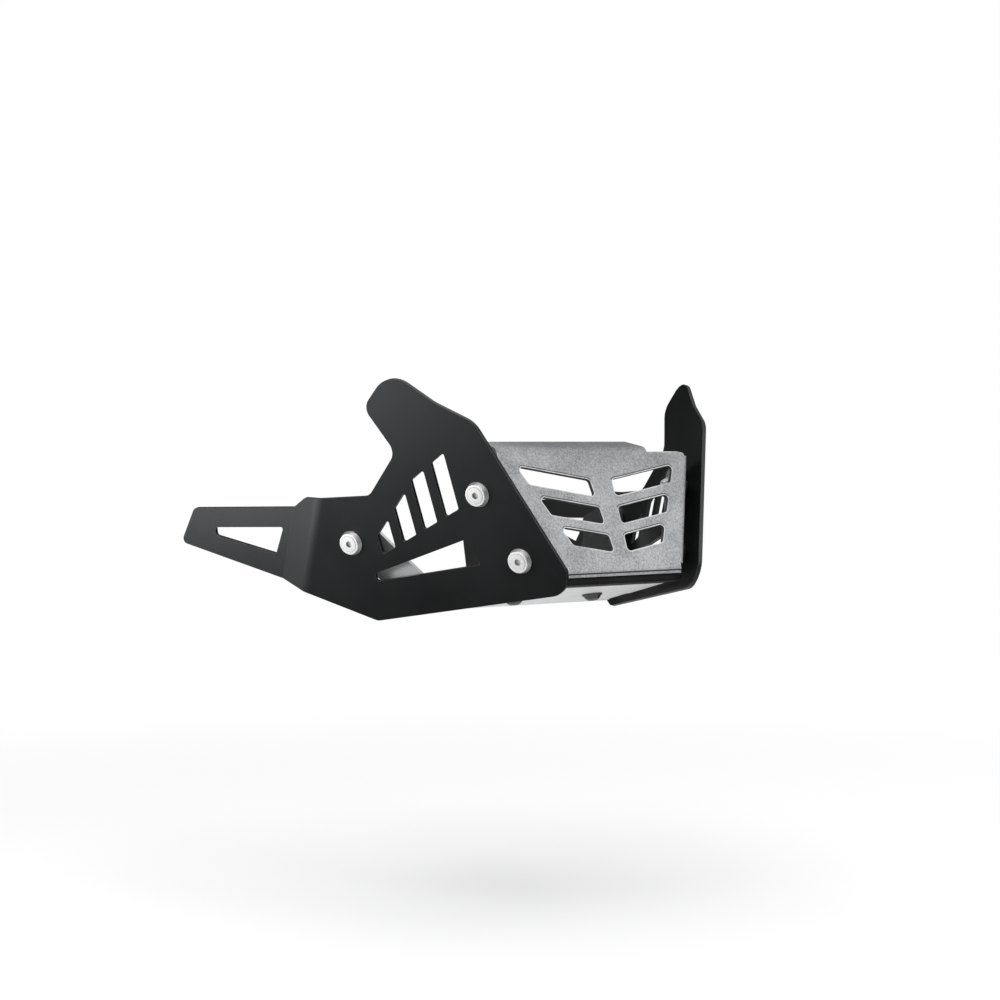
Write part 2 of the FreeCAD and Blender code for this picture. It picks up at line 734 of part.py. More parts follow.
# Rubber trim pushed on the base plate's front edge.
def edge_trim(label):
    body = new_body(label, BASE)
    wall, front = S["trim_wall"], -S["base_front"]
    tip, back = front - S["trim_front"], front - S["trim_front"] + S["trim_depth"]
    profile = new_sketch(body, "trim_profile", ALONG_X)
    add_polygon(profile, [
        (tip, -wall), (back, -wall), (back, 0), (front, 0), (front, t), (back, t), (back, t + wall),
        (tip, t + wall),
    ])
    add_pad(body, "trim_strip", profile, S["trim_half"] * 2, symmetric=True)
    edges = edges_through(body, [(0,) + values(tip, -wall), (0,) + values(tip, t + wall)], X_AXIS)
    add_fillet(body, "trim_round", edges, S["trim_radius"])
    return body


# Engine bracket: a folded angle that stands on the base plate, with two holes for the engine's bolts.
def engine_bracket(label):
    body = new_body(label, BASE)
    thick, out, inner, half = S["bracket_t"], -S["bracket_x"], -S["foot_inner"], S["bracket_half"]
    profile = new_sketch(body, "bracket_profile", placement_text(0, 0, 0, (X_AXIS, 90)))
    add_polygon(profile, [
        (out, t), (inner, t), (inner, t + thick), (out + thick, t + thick),
        (out + thick, S["bracket_high"]), (out, S["bracket_high"]),
    ])
    add_pad(body, "bracket_strip", profile, half * 2, symmetric=True)
    add_fillet(body, "bracket_bend_inside",
               edges_through(body, [values(out + thick, 0, t + thick)], Y_AXIS), fold)
    add_fillet(body, "bracket_bend_outside", edges_through(body, [values(out, 0, t)], Y_AXIS), fold + thick)
    top = [values(out, half * sign, S["bracket_high"]) for sign in (-1, 1)]
    foot = [values(inner, half * sign, t) for sign in (-1, 1)]
    add_fillet(body, "bracket_top_round", edges_through(body, top, X_AXIS), S["bracket_radius"])
    add_fillet(body, "bracket_foot_round", edges_through(body, foot, Z_AXIS), S["bracket_radius"])
    foot_hole = new_sketch(body, "foot_hole")
    add_circle(foot_hole, -S["base_bolt_x"], 0, S["base_hole_radius"])
    add_pocket(body, "foot_hole_cut", foot_hole, (t + thick) * 4, symmetric=True)
    # the engine holes are level in the bike, so their sketch is turned back from the ramp
    hole_y = base_y + (S["engine_hole_z"] - S["base_z"]) * tan_deg(ramp)
    level = new_sketch(
        body, "engine_holes",
        f"{BASE_INVERSE} * {placement_text(0, hole_y, 0, ((1, 1, 1), 120))}",
    )
    for sign in (-1, 1):
        add_circle(level, S["engine_hole_half"] * sign, S["engine_hole_z"] - S["frame_z"],
                   S["engine_hole_radius"])
    add_pocket(body, "engine_hole_cut", level, reach, symmetric=True)
    return body


# Fasteners: plain primitives, set in the frame of the plate or the base and copied to the other side.
def primitive(kind, name, x, y, z, **lengths):
    shape = doc.addObject(f"Part::{kind}", name)
    for key, number in lengths.items():
        shape.setExpression(key, size(number).text)
    for axis, number in zip("xyz", (x, y, z)):
        shape.setExpression(f"Placement.Base.{axis}", size(number).text)
    return shape


def cylinder(name, x, y, z, radius, height):
    return primitive("Cylinder", name, x, y, z, Radius=radius, Height=height)


def cone(name, x, y, z, radius_low, radius_high, height):
    return primitive("Cone", name, x, y, z, Radius1=radius_low, Radius2=radius_high, Height=height)


def hexagon(name, x, y, z, radius, height):
    shape = primitive("Prism", name, x, y, z, Circumradius=radius, Height=height)
    shape.Polygon = 6
    return shape


def cut(name, base, *tools):
    for number, tool in enumerate(tools, start=1):
        result = doc.addObject("Part::Cut", f"{name}_{number}")
        result.Base, result.Tool = base, tool
        base = result
    return base


def join(name, first, second):
    result = doc.addObject("Part::Fuse", name)
    result.Base, result.Tool = first, second
    return result


def overlap(name, first, second):
    result = doc.addObject("Part::Common", name)
    result.Base, result.Tool = first, second
    return result


def pair(label, shapes, placement):
    """One node of separate solids: the right-hand ones in their frame, and their mirror images."""
    right = doc.addObject("Part::Compound", f"{label}_right")
    right.Links = shapes
    right.setExpression("Placement", placement)
    doc.recompute()
    both = doc.addObject("Part::Compound", label)
    both.Links = [right, mirror(f"{label}_left", right)]
    both.Label = label
    doc.recompute()
    return both


def side_fasteners():
    bore, shank = S["hole_radius"], S["bolt_radius"]
    face = -S["rosette_len"]
    inside = gap + t
    groups = {"rosettes": [], "side_bolts": [], "spacer_sleeves": [], "side_washers": [], "side_nuts": []}
    for name in ("upper", "lower", "rear"):
        x, y = bolt_spot(name)
        body = cone(f"rosette_body_{name}", x, y, face, S["rosette_face_radius"], S["rosette_radius"],
                    S["rosette_len"])
        seat = cone(f"rosette_seat_{name}", x, y, face, S["head_radius"] + S["seat_clearance"], bore,
                    S["head_len"])
        hole = cylinder(f"rosette_hole_{name}", x, y, -reach, bore, reach * 2)
        groups["rosettes"].append(cut(f"rosette_{name}", body, seat, hole))

        head = cone(f"bolt_head_{name}", x, y, face, S["head_radius"], shank, S["head_len"])
        stem = cylinder(f"bolt_stem_{name}", x, y, face + S["head_len"], shank,
                        S["bolt_len"] - S["head_len"])
        key = hexagon(f"bolt_key_{name}", x, y, face, S["key_radius"], S["key_depth"])
        groups["side_bolts"].append(cut(f"bolt_{name}", join(f"bolt_solid_{name}", head, stem), key))

        sleeve = cylinder(f"sleeve_body_{name}", x, y, t, S["sleeve_radius"], S["spacer_len"])
        sleeve_hole = cylinder(f"sleeve_hole_{name}", x, y, 0, bore, reach)
        groups["spacer_sleeves"].append(cut(f"sleeve_{name}", sleeve, sleeve_hole))

        ring = cylinder(f"washer_body_{name}", x, y, inside, S["washer_radius"], S["washer_t"])
        ring_hole = cylinder(f"washer_hole_{name}", x, y, 0, bore, reach)
        groups["side_washers"].append(cut(f"washer_{name}", ring, ring_hole))

        nut_z = inside + S["washer_t"]
        block = hexagon(f"nut_block_{name}", x, y, nut_z, S["nut_radius"], S["nut_len"])
        collar = cylinder(f"nut_collar_{name}", x, y, nut_z + S["nut_len"], S["collar_radius"],
                          S["collar_len"])
        thread = cylinder(f"nut_thread_{name}", x, y, 0, shank, reach)
        groups["side_nuts"].append(cut(f"nut_{name}", join(f"nut_solid_{name}", block, collar), thread))
    return [pair(label, shapes, PLATE["right"]) for label, shapes in groups.items()]


def base_fasteners():
    x, shank, bore = -S["base_bolt_x"], S["base_bolt_radius"], S["base_hole_radius"]
    ring, head, length = S["washer_t"], S["base_head_radius"], S["base_head_len"]
    dome = (head * head + length * length) / (length * 2)
    cap = overlap(
        "base_cap",
        primitive("Sphere", "base_dome", x, 0, dome - ring - length, Radius=dome),
        cylinder("base_rim", x, 0, -ring - length, head, length),
    )
    stem = cylinder("base_stem", x, 0, -ring, shank, S["base_bolt_len"])
    key = hexagon("base_key", x, 0, -ring - length, S["base_key_radius"],
                  S["base_key_depth"])
    bolt = cut("base_bolt", join("base_bolt_solid", cap, stem), key)
    top = t + S["bracket_t"]
    washers = [
        cut(f"base_washer_{name}", cylinder(f"base_ring_{name}", x, 0, z, S["base_washer_radius"], ring),
            cylinder(f"base_ring_hole_{name}", x, 0, -reach, bore, reach * 2))
        for name, z in (("low", -ring), ("high", top))
    ]
    block = hexagon("base_nut_block", x, 0, top + ring, S["base_nut_radius"], S["base_nut_len"])
    nut = cut("base_nut", block, cylinder("base_nut_thread", x, 0, -reach, shank, reach * 2))
    return [pair("base_bolts", [bolt], BASE), pair("base_washers", washers, BASE),
            pair("base_nuts", [nut], BASE)]


right_plate = side_plate("right_side_plate")
right_bracket = engine_bracket("right_engine_bracket")
nodes = [
    right_plate,
    mirror("left_side_plate", right_plate),
    front_panel("front_panel"),
    base_plate("base_plate"),
    edge_trim("front_edge_trim"),
    right_bracket,
    mirror("left_engine_bracket", right_bracket),
    *side_fasteners(),
    *base_fasteners(),
]
doc.recompute()

for item in doc.Objects:
    if "Invalid" in item.State or "Error" in item.State:
        raise RuntimeError(f"{item.Name} did not build: {item.State}")
for node in nodes:
    if node.Shape.isNull() or not node.Shape.isValid():
        raise RuntimeError(f"{node.Label} has no valid shape")

os.makedirs("parts", exist_ok=True)
for node in nodes:
    node.Shape.exportStep(f"parts/{node.Label}.step")
    box = node.Shape.BoundBox
    corners = [round(number, 1) for number in (*box.getPoint(0), *box.getPoint(6))]
    print(f"{node.Label}: {len(node.Shape.Solids)} solids, {node.Shape.Volume / 1000:.1f} cm3, box {corners}")
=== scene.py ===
import math

import bmesh
import bpy
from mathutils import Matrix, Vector


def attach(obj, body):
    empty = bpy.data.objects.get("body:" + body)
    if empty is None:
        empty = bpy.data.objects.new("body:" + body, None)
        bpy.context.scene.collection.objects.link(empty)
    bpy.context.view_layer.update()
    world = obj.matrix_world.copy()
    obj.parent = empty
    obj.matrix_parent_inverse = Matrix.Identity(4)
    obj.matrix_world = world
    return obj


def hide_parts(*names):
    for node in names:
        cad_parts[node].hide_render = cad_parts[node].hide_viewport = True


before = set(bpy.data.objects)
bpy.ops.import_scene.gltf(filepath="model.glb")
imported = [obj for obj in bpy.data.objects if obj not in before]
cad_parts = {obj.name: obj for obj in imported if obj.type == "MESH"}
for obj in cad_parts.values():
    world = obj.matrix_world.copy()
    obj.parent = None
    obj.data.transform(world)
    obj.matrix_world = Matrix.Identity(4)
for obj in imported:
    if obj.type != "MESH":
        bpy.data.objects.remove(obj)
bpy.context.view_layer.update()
mm = 0.001  # the guard and the camera are written in millimetres, the room around them in metres
unit = (0.0, 1.0)
print("frame loaded with", len(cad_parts), "nodes")


# Node helpers
def feed(tree, node, inputs):
    for name, value in inputs.items():
        if isinstance(value, bpy.types.NodeSocket):
            tree.links.new(value, node.inputs[name])
        else:
            node.inputs[name].default_value = value


def addNode(tree, kind, inputs=None, **settings):
    node = tree.nodes.new(kind)
    for name, value in settings.items():
        setattr(node, name, value)
    feed(tree, node, inputs or {})
    return node


def newGroup(name, inputs, outputs):
    tree = bpy.data.node_groups.new(name, "ShaderNodeTree")
    for label, value in inputs.items():
        socket = tree.interface.new_socket(label, in_out="INPUT", socket_type="NodeSocketFloat")
        socket.default_value = value
    for label in outputs:
        tree.interface.new_socket(label, in_out="OUTPUT", socket_type="NodeSocketFloat")
    return tree, addNode(tree, "NodeGroupInput").outputs, addNode(tree, "NodeGroupOutput")


def useGroup(tree, group, inputs=None):
    return addNode(tree, "ShaderNodeGroup", inputs, node_tree=group).outputs


def objectPlace(tree):
    return addNode(tree, "ShaderNodeTexCoord").outputs["Object"]


def meshMark(tree, name):
    return addNode(tree, "ShaderNodeAttribute", attribute_name=name).outputs["Fac"]


def noise(tree, place, scale, detail, crumble=0.5):
    inputs = {"Vector": place, "Scale": scale, "Detail": detail, "Roughness": crumble}
    return addNode(tree, "ShaderNodeTexNoise", inputs).outputs["Fac"]


def worked(tree, operation, first, second=0.0, clamp=False):
    node = addNode(tree, "ShaderNodeMath", {0: first, 1: second}, operation=operation, use_clamp=clamp)
    return node.outputs[0]


def mixColour(tree, factor, first, second):
    # a colour mix keeps its factor, its two colours and its result at these places
    node = addNode(tree, "ShaderNodeMix", {0: factor, 6: first, 7: second}, data_type="RGBA")
    return node.outputs[2]


def spread(tree, value, ends, span=unit):
    inputs = {"Value": value, "From Min": span[0], "From Max": span[1], "To Min": ends[0], "To Max": ends[1]}
    return addNode(tree, "ShaderNodeMapRange", inputs).outputs["Result"]


def grey(level, warm=0.0):
    return (level * (1 + warm), level, level * (1 - warm), 1.0)


# Shared surface effects, where a span is the stretch of a value that counts as none to full
coatGrainLook = {
    "inputs": {"Pebbles": 900.0, "Patches": 14.0},
    "crumble": 0.6, "pebbleDetail": 2.0, "patchDetail": 4.0, "patchSpan": (0.3, 0.7),
}


def coatGrainGroup(values):
    tree, given, out = newGroup("coat grain", values["inputs"], ("Height", "Mottle"))
    place = objectPlace(tree)
    patch = noise(tree, place, given["Patches"], values["patchDetail"], values["crumble"])
    feed(tree, out, {
        "Height": noise(tree, place, given["Pebbles"], values["pebbleDetail"], values["crumble"]),
        "Mottle": spread(tree, patch, unit, values["patchSpan"]),
    })
    return tree


speckLook = {
    "inputs": {"Specks": 620.0, "Clumps": 45.0},
    "crumble": 0.7, "speckDetail": 3.0, "speckSpan": (0.72, 1.28),
    "clumpDetail": 2.0, "clumpSpan": (0.3, 0.7), "clumpShare": (0.41, 0.59),
}


def speckGroup(values):
    tree, given, out = newGroup("cast speckle", values["inputs"], ("Height", "Speck"))
    place = objectPlace(tree)
    fine = noise(tree, place, given["Specks"], values["speckDetail"], values["crumble"])
    clump = noise(tree, place, given["Clumps"], values["clumpDetail"])
    slow = spread(tree, clump, values["clumpShare"], values["clumpSpan"])
    both = worked(tree, "ADD", fine, slow)
    feed(tree, out, {"Height": fine, "Speck": spread(tree, both, unit, values["speckSpan"])})
    return tree


# cut edges take a lighter colour: a painted highlight where light catches them, broken up along the edge
cutEdgeLook = {"inputs": {"Breaks": 60.0}, "breakDetail": 3.0, "breakSpan": (0.35, 0.6), "kept": (0.35, 1.0)}


def cutEdgeGroup(values):
    tree, given, out = newGroup("cut edge", values["inputs"], ("Mask", "Line"))
    breaks = noise(tree, objectPlace(tree), given["Breaks"], values["breakDetail"])
    kept = spread(tree, breaks, values["kept"], values["breakSpan"])
    mask = worked(tree, "MULTIPLY", meshMark(tree, "paintedEdgeHighlight"), kept)
    feed(tree, out, {"Mask": mask, "Line": meshMark(tree, "paintedShadeLine")})
    return tree


turnedRingLook = {
    "inputs": {"Ring Gap": 0.00028, "Flank From": 1.0},
    "toneScale": 0.35, "toneDetail": 3.0, "toneSpan": (0.3, 0.7), "socketSpan": (0.94, 0.98),
}


def turnedRingGroup(values):
    tree, given, out = newGroup("turned rings", values["inputs"], ("Height", "Tone", "Socket Shade", "Flank"))
    radius = meshMark(tree, "fromAxis")
    count = worked(tree, "DIVIDE", radius, given["Ring Gap"])
    wave = worked(tree, "SINE", worked(tree, "MULTIPLY", count, math.tau))
    along = {"W": count, "Scale": values["toneScale"], "Detail": values["toneDetail"]}
    tone = addNode(tree, "ShaderNodeTexNoise", along, noise_dimensions="1D").outputs["Fac"]
    feed(tree, out, {
        "Height": spread(tree, wave, unit, (-1.0, 1.0)),
        "Tone": spread(tree, tone, unit, values["toneSpan"]),
        "Socket Shade": spread(tree, meshMark(tree, "inSocket"), unit, values["socketSpan"]),
        "Flank": worked(tree, "GREATER_THAN", radius, given["Flank From"]),
    })
    return tree


rolledLook = {
    "inputs": {"Lines": 900.0, "Stains": 22.0}, "drawn": (0.02, 1.0, 1.0),  # lines are drawn out along x
    "lineDetail": 3.0, "lineCrumble": 0.6, "stainDetail": 4.0, "stainCrumble": 0.65, "stainSpan": (0.35, 0.7),
}


def rolledGroup(values):
    tree, given, out = newGroup("rolled sheet", values["inputs"], ("Height", "Streak"))
    place = objectPlace(tree)
    drawn = addNode(tree, "ShaderNodeMapping", {"Vector": place, "Scale": values["drawn"]}).outputs["Vector"]
    stain = noise(tree, place, given["Stains"], values["stainDetail"], values["stainCrumble"])
    feed(tree, out, {
        "Height": noise(tree, drawn, given["Lines"], values["lineDetail"], values["lineCrumble"]),
        "Streak": spread(tree, stain, unit, values["stainSpan"]),
    })
    return tree


coatGrain = coatGrainGroup(coatGrainLook)
castSpeck = speckGroup(speckLook)
paintedEdgeHighlight = cutEdgeGroup(cutEdgeLook)
turnedRings = turnedRingGroup(turnedRingLook)
rolledSheet = rolledGroup(rolledLook)
print("surface effects made")


# Finishes: gloss is the range of roughness, bump is strength and depth
def newFinish(name):
    finish = bpy.data.materials.new(name)
    finish.use_nodes = True
    return finish, finish.node_tree, finish.node_tree.nodes["Principled BSDF"]


def raised(tree, height, bump):
    strength, depth = bump
    inputs = {"Height": height, "Strength": strength, "Distance": depth * mm}
    return addNode(tree, "ShaderNodeBump", inputs).outputs["Normal"]


def powderCoat(name, values):
    finish, tree, shader = newFinish(name)
    grain = useGroup(tree, coatGrain, {"Pebbles": values["pebbles"]})
    body = mixColour(tree, grain["Mottle"], values["deep"], values["pale"])
    feed(tree, shader, {
        # the lighter edge colour on the cut edges is a painted highlight
        "Base Color": mixColour(tree, useGroup(tree, paintedEdgeHighlight)["Mask"], body, values["edge"]),
        "Roughness": spread(tree, grain["Mottle"], values["gloss"]),
        "Specular IOR Level": values["shine"],
        "Specular Tint": values["tint"],
        "Normal": raised(tree, grain["Height"], values["bump"]),
    })
    return finish


# edge is the painted highlight colour of the plates' cut edges
plateLook = {
    "deep": grey(0.005, -0.05), "pale": grey(0.007, -0.05), "edge": grey(0.12), "gloss": (0.33, 0.41),
    "pebbles": 1100.0, "shine": 0.33, "tint": (0.94, 0.97, 1.0, 1.0), "bump": (0.25, 0.1),
}
# the brackets' edge colour is likewise a painted highlight
bracketLook = {
    **plateLook, "deep": grey(0.009), "pale": grey(0.014), "edge": grey(0.04), "gloss": (0.32, 0.45),
    "pebbles": 700.0, "shine": 0.3,
}
plateBlack = powderCoat("plate black coat", plateLook)
bracketBlack = powderCoat("bracket black coat", bracketLook)


def speckledCoat(name, values):
    finish, tree, shader = newFinish(name)
    speck = useGroup(tree, castSpeck)
    edge = useGroup(tree, paintedEdgeHighlight)
    body = mixColour(tree, speck["Speck"], values["deep"], values["pale"])
    # rims take the painted highlight colour; lines and vent walls take the painted shade colour
    rimmed = mixColour(tree, edge["Mask"], body, values["edge"])
    feed(tree, shader, {
        "Base Color": mixColour(tree, edge["Line"], rimmed, values["line"]),
        "Roughness": spread(tree, speck["Speck"], values["gloss"]),
        "Normal": raised(tree, speck["Height"], values["bump"]),
    })
    return finish


# edge is the panel's painted highlight colour, line its painted shade colour
panelLook = {
    "deep": grey(0.12, -0.03), "pale": grey(0.48, -0.03), "edge": grey(0.65), "line": grey(0.02),
    "gloss": (0.6, 0.42), "bump": (0.8, 0.4),
}
panelGrey = speckledCoat("panel grey speckle", panelLook)


def satinSheet(name, values):
    finish, tree, shader = newFinish(name)
    rolled = useGroup(tree, rolledSheet)
    feed(tree, shader, {
        "Base Color": mixColour(tree, rolled["Streak"], values["deep"], values["pale"]),
        "Roughness": spread(tree, rolled["Streak"], values["gloss"]),
        "Metallic": values["metal"],
        "Normal": raised(tree, rolled["Height"], values["bump"]),
    })
    return finish


baseLook = {
    "deep": grey(0.69, -0.01), "pale": grey(0.76, -0.01), "gloss": (0.47, 0.42), "metal": 0.5,
    "bump": (0.2, 0.08),
}
baseSilver = satinSheet("base satin sheet", baseLook)


def mouldedRubber(name, values):
    finish, tree, shader = newFinish(name)
    grain = useGroup(tree, coatGrain, {"Pebbles": values["pebbles"], "Patches": values["patches"]})
    feed(tree, shader, {
        "Base Color": mixColour(tree, grain["Mottle"], values["deep"], values["pale"]),
        "Roughness": spread(tree, grain["Height"], values["gloss"]),
        "Specular IOR Level": values["shine"],
        "Normal": raised(tree, grain["Height"], values["bump"]),
    })
    return finish


trimLook = {
    "deep": grey(0.004), "pale": grey(0.008), "gloss": (0.5, 0.7), "pebbles": 650.0, "patches": 40.0,
    "shine": 0.1, "bump": (0.4, 0.15),
}
trimRubber = mouldedRubber("trim rubber", trimLook)


def turnedMetal(name, values):
    # from the radius given as flank outwards the piece is bare metal and a little smoother
    finish, tree, shader = newFinish(name)
    rings = useGroup(tree, turnedRings, {"Ring Gap": values["gap"] * mm, "Flank From": values["flank"] * mm})
    body = mixColour(tree, rings["Tone"], values["deep"], values["pale"])
    satin = spread(tree, rings["Tone"], values["gloss"])
    smoother = spread(tree, rings["Flank"], (1.0, values["polish"]))
    feed(tree, shader, {
        # hex socket walls take the socket colour, a painted shade in the recess
        "Base Color": mixColour(tree, rings["Socket Shade"], body, values["socket"]),
        "Metallic": spread(tree, rings["Flank"], (values["metal"], 1.0)),
        "Roughness": worked(tree, "MULTIPLY", satin, smoother),
        "Normal": raised(tree, rings["Height"], values["bump"]),
    })
    return finish


boltLook = {
    # socket is one flat grey on the hex socket's walls: painted shade in the recess of the bright bolts and
    # rosettes
    "deep": grey(0.86, 0.01), "pale": grey(0.94), "socket": grey(0.3), "gloss": (0.52, 0.46), "metal": 0.6,
    "gap": 0.6, "flank": 100.0, "polish": 0.9, "bump": (0.1, 0.02),  # no fastener reaches this flank
}
rosetteLook = {**boltLook, "deep": grey(0.9), "pale": grey(0.95), "flank": 7.9}
baseBoltLook = {
    **boltLook, "deep": grey(0.02, 0.02), "pale": grey(0.16), "gloss": (0.38, 0.26), "metal": 0.9, "gap": 0.9,
}
rosetteAluminium = turnedMetal("rosette turned aluminium", rosetteLook)
boltSteel = turnedMetal("bolt zinc steel", boltLook)
baseBoltDark = turnedMetal("base bolt dark oxide", baseBoltLook)
print("finishes made")


# What every piece needs
def settle(name, mesh, finish):
    piece = bpy.data.objects.new(name, mesh)
    bpy.context.scene.collection.objects.link(piece)
    mesh.materials.clear()
    mesh.materials.append(finish)
    return piece


def makePlain(piece):
    seen = piece.evaluated_get(bpy.context.evaluated_depsgraph_get())
    plain = bpy.data.meshes.new_from_object(seen)
    piece.modifiers.clear()
    piece.data = plain


def weighNormals(piece):
    piece.modifiers.new("flat faces lead", "WEIGHTED_NORMAL").keep_sharp = True
    makePlain(piece)


def hand(piece, node):
    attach(piece, "root")
    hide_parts(node)


def smoothMesh(name, work, keepSharp):
    for face in work.faces:
        face.smooth = True
    mesh = bpy.data.meshes.new(name)
    work.to_mesh(mesh)
    work.free()
    mesh.set_sharp_from_angle(angle=math.radians(keepSharp))
    return mesh


# Side plates: where they stand, and the soft shade over their first bend
sidePlate = {"corner": (-118.6, -15.35, -0.246), "toe": 21.65, "lean": 14.5}  # the right one's lowest corner


def plateAxes(values):
    toe, lean = math.radians(values["toe"]), math.radians(values["lean"])
    run = Vector((-math.sin(toe), math.cos(toe), 0))
    rise = Vector((-math.cos(toe) * math.sin(lean), -math.sin(toe) * math.sin(lean), math.cos(lean)))
    out = -Vector((math.cos(toe) * math.cos(lean), math.sin(toe) * math.cos(lean), math.sin(lean)))
    return Vector(values["corner"]) * mm, run, rise, out


def bendAxes(values):
    corner, run, rise, out = plateAxes(sidePlate)
    tilt, turn = math.radians(values["tilt"]), math.radians(values["turn"])
    across = run * math.cos(tilt) + rise * math.sin(tilt)
    turned = out * math.cos(turn) + across * math.sin(turn)
    return [axis * Vector((values["side"], 1, 1)) for axis in (corner, across, out, turned)]


def cutBend(work, values):
    corner, across = bendAxes(values)[:2]
    for side in (-1, 1):
        place = corner + across * (values["bend"] + side * values["soft"]) * mm
        whole = [*work.verts, *work.edges, *work.faces]
        bmesh.ops.bisect_plane(work, geom=whole, plane_co=place, plane_no=across)


bendShade = {
    "facing": 0.9,  # how squarely the sheet's two broad sides face out or in
    "ends": 1.001,  # the shade's reach with a little slack, as a share of soft
}


def softenBend(mesh, values):
    # the shade turns evenly over the bend and a little beyond it
    corner, across, flat, turned = bendAxes(values)
    shades = [Vector(item.vector) for item in mesh.corner_normals]
    for face in mesh.polygons:
        facing = face.normal.dot(flat + turned) / 2
        if abs(facing) < bendShade["facing"]:
            continue
        for loop in face.loop_indices:
            place = mesh.vertices[mesh.loops[loop].vertex_index].co
            share = ((place - corner).dot(across) / mm - values["bend"]) / values["soft"]
            if abs(share) <= bendShade["ends"]:
                shades[loop] = flat.lerp(turned, (share + 1) / 2).normalized() * math.copysign(1, facing)
    mesh.normals_split_custom_set(shades)


# Front panel: pale rims of painted highlight and dark lines of painted shade at its vents, a dark line of
# painted shade along its fold, and painted shade on its vent walls
def ringIn(work, faces, width):
    ring = bmesh.ops.inset_region(work, faces=faces, thickness=width * mm, use_even_offset=True,
                                  use_boundary=True)
    return ring["faces"]


def nextTo(face):
    return {other for edge in face.edges for other in edge.link_faces}


lineFaces = {
    "front": 0.9999,  # how squarely the broad front faces forward
    "least": 100.0,  # its least area in square millimetres
    "hanging": 0.2,  # an edge that faces up less than this hangs over a vent
    "straight": 0.02,  # the fold runs straight across
    "wall": 0.1,  # a vent's walls stand square to the front
}


def paintRimsAndShadeLines(work, mark, line, eased, values):
    rake, (low, high), (reach, top) = math.radians(values["rake"]), values["fold"], values["vents"]
    front = Vector((0, -math.cos(rake), math.sin(rake)))
    least = lineFaces["least"] * mm * mm
    broad = [f for f in work.faces if f.normal.dot(front) > lineFaces["front"] and f.calc_area() > least]
    overVent = set()
    # a ring beside the eased edges gets the painted highlight colour
    for face in ringIn(work, broad, values["rim"]):
        near = nextTo(face) & eased
        face[mark] = float(bool(near))
        if any(other.normal.z < lineFaces["hanging"] for other in near):
            overVent.add(face)
    # a ring over each vent gets a dark line of painted shade
    for face in ringIn(work, broad, values["line"]):
        face[line] = float(bool(nextTo(face) & overVent))
    for face in work.faces:
        middle = face.calc_center_median()
        slope = math.degrees(math.atan2(face.normal.z, -face.normal.y))
        walled = abs(face.normal.dot(front)) < lineFaces["wall"]
        # the fold's facets get a dark line of painted shade
        if abs(face.normal.x) < lineFaces["straight"] and low < slope < high:
            face[line] = 1.0
        # the vents' walls are darkened as painted shade
        elif walled and abs(middle.x) < reach * mm and middle.z < top * mm:
            face[line] = values["wallShade"]


# Sheet pieces: the solid's own form with its cut edges eased
sheetMesh = {
    "weld": 0.005, "flatWithin": 0.6, "sharpFrom": 38.0, "steps": 2, "noArea": 0.001, "keepSharp": 50.0,
}


def easeEdges(source, values):
    work = bmesh.new()
    work.from_mesh(source.data)
    flatWithin, sharpFrom = math.radians(sheetMesh["flatWithin"]), math.radians(sheetMesh["sharpFrom"])
    bmesh.ops.remove_doubles(work, verts=work.verts, dist=sheetMesh["weld"] * mm)
    bmesh.ops.dissolve_limit(work, angle_limit=flatWithin, verts=work.verts, edges=work.edges)
    sharp = [e for e in work.edges if e.is_manifold and e.calc_face_angle() > sharpFrom]
    # the eased faces are marked for the painted edge highlight, the other layer for painted shade lines
    mark, line = work.faces.layers.float.new("paintedEdgeHighlight"), work.faces.layers.float.new("paintedShadeLine")
    bevel = bmesh.ops.bevel(work, geom=sharp, offset=values["edge"] * mm, segments=sheetMesh["steps"],
                            profile=0.5, affect="EDGES", clamp_overlap=True)
    eased = set(bevel["faces"])
    for face in eased:
        face[mark] = 1.0
    if "line" in values:
        paintRimsAndShadeLines(work, mark, line, eased, values)
    if "bend" in values:
        cutBend(work, values)
    bmesh.ops.dissolve_degenerate(work, edges=work.edges, dist=sheetMesh["noArea"] * mm)
    return smoothMesh(source.name, work, sheetMesh["keepSharp"])


def makeSheet(name, values, finish, slot):
    mesh = easeEdges(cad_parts[values["node"]], values)
    piece = settle(name, mesh, finish)
    weighNormals(piece)
    if "bend" in values:
        softenBend(piece.data, values)
    hand(piece, values["node"])
    print(name, "eased,", len(piece.data.polygons), "faces")


# the first bend's run from the corner, its tilt and turn, and how far its shade reaches to each side
rightPlate = {
    "node": "right_side_plate", "edge": 0.45, "side": 1,
    "bend": 68.5, "tilt": 19.5, "turn": 20.0, "soft": 5.0,
}
leftPlate = {**rightPlate, "node": "left_side_plate", "side": -1}
# the fold's least and greatest slope, the vents' reach to each side and upwards, and how dark the painted
# shade on their walls is
frontPanel = {
    "node": "front_panel", "edge": 0.5, "rake": 23.75, "rim": 0.7, "line": 0.8, "fold": (-19.0, -8.0),
    "vents": (80.0, 125.0), "wallShade": 0.9,
}
basePlate = {"node": "base_plate", "edge": 0.4}
edgeTrim = {"node": "front_edge_trim", "edge": 0.5}
rightBracket = {"node": "right_engine_bracket", "edge": 0.5}
leftBracket = {**rightBracket, "node": "left_engine_bracket"}
sheets = (
    ("rightPlate", rightPlate, plateBlack, "plate_black"),
    ("leftPlate", leftPlate, plateBlack, "plate_black"),
    ("frontPanel", frontPanel, panelGrey, "panel_grey"),
    ("basePlate", basePlate, baseSilver, "base_silver"),
    ("edgeTrim", edgeTrim, trimRubber, "trim_rubber"),
    ("rightBracket", rightBracket, bracketBlack, "bracket_black"),
    ("leftBracket", leftBracket, bracketBlack, "bracket_black"),
)
for sheet in sheets:
    makeSheet(*sheet)


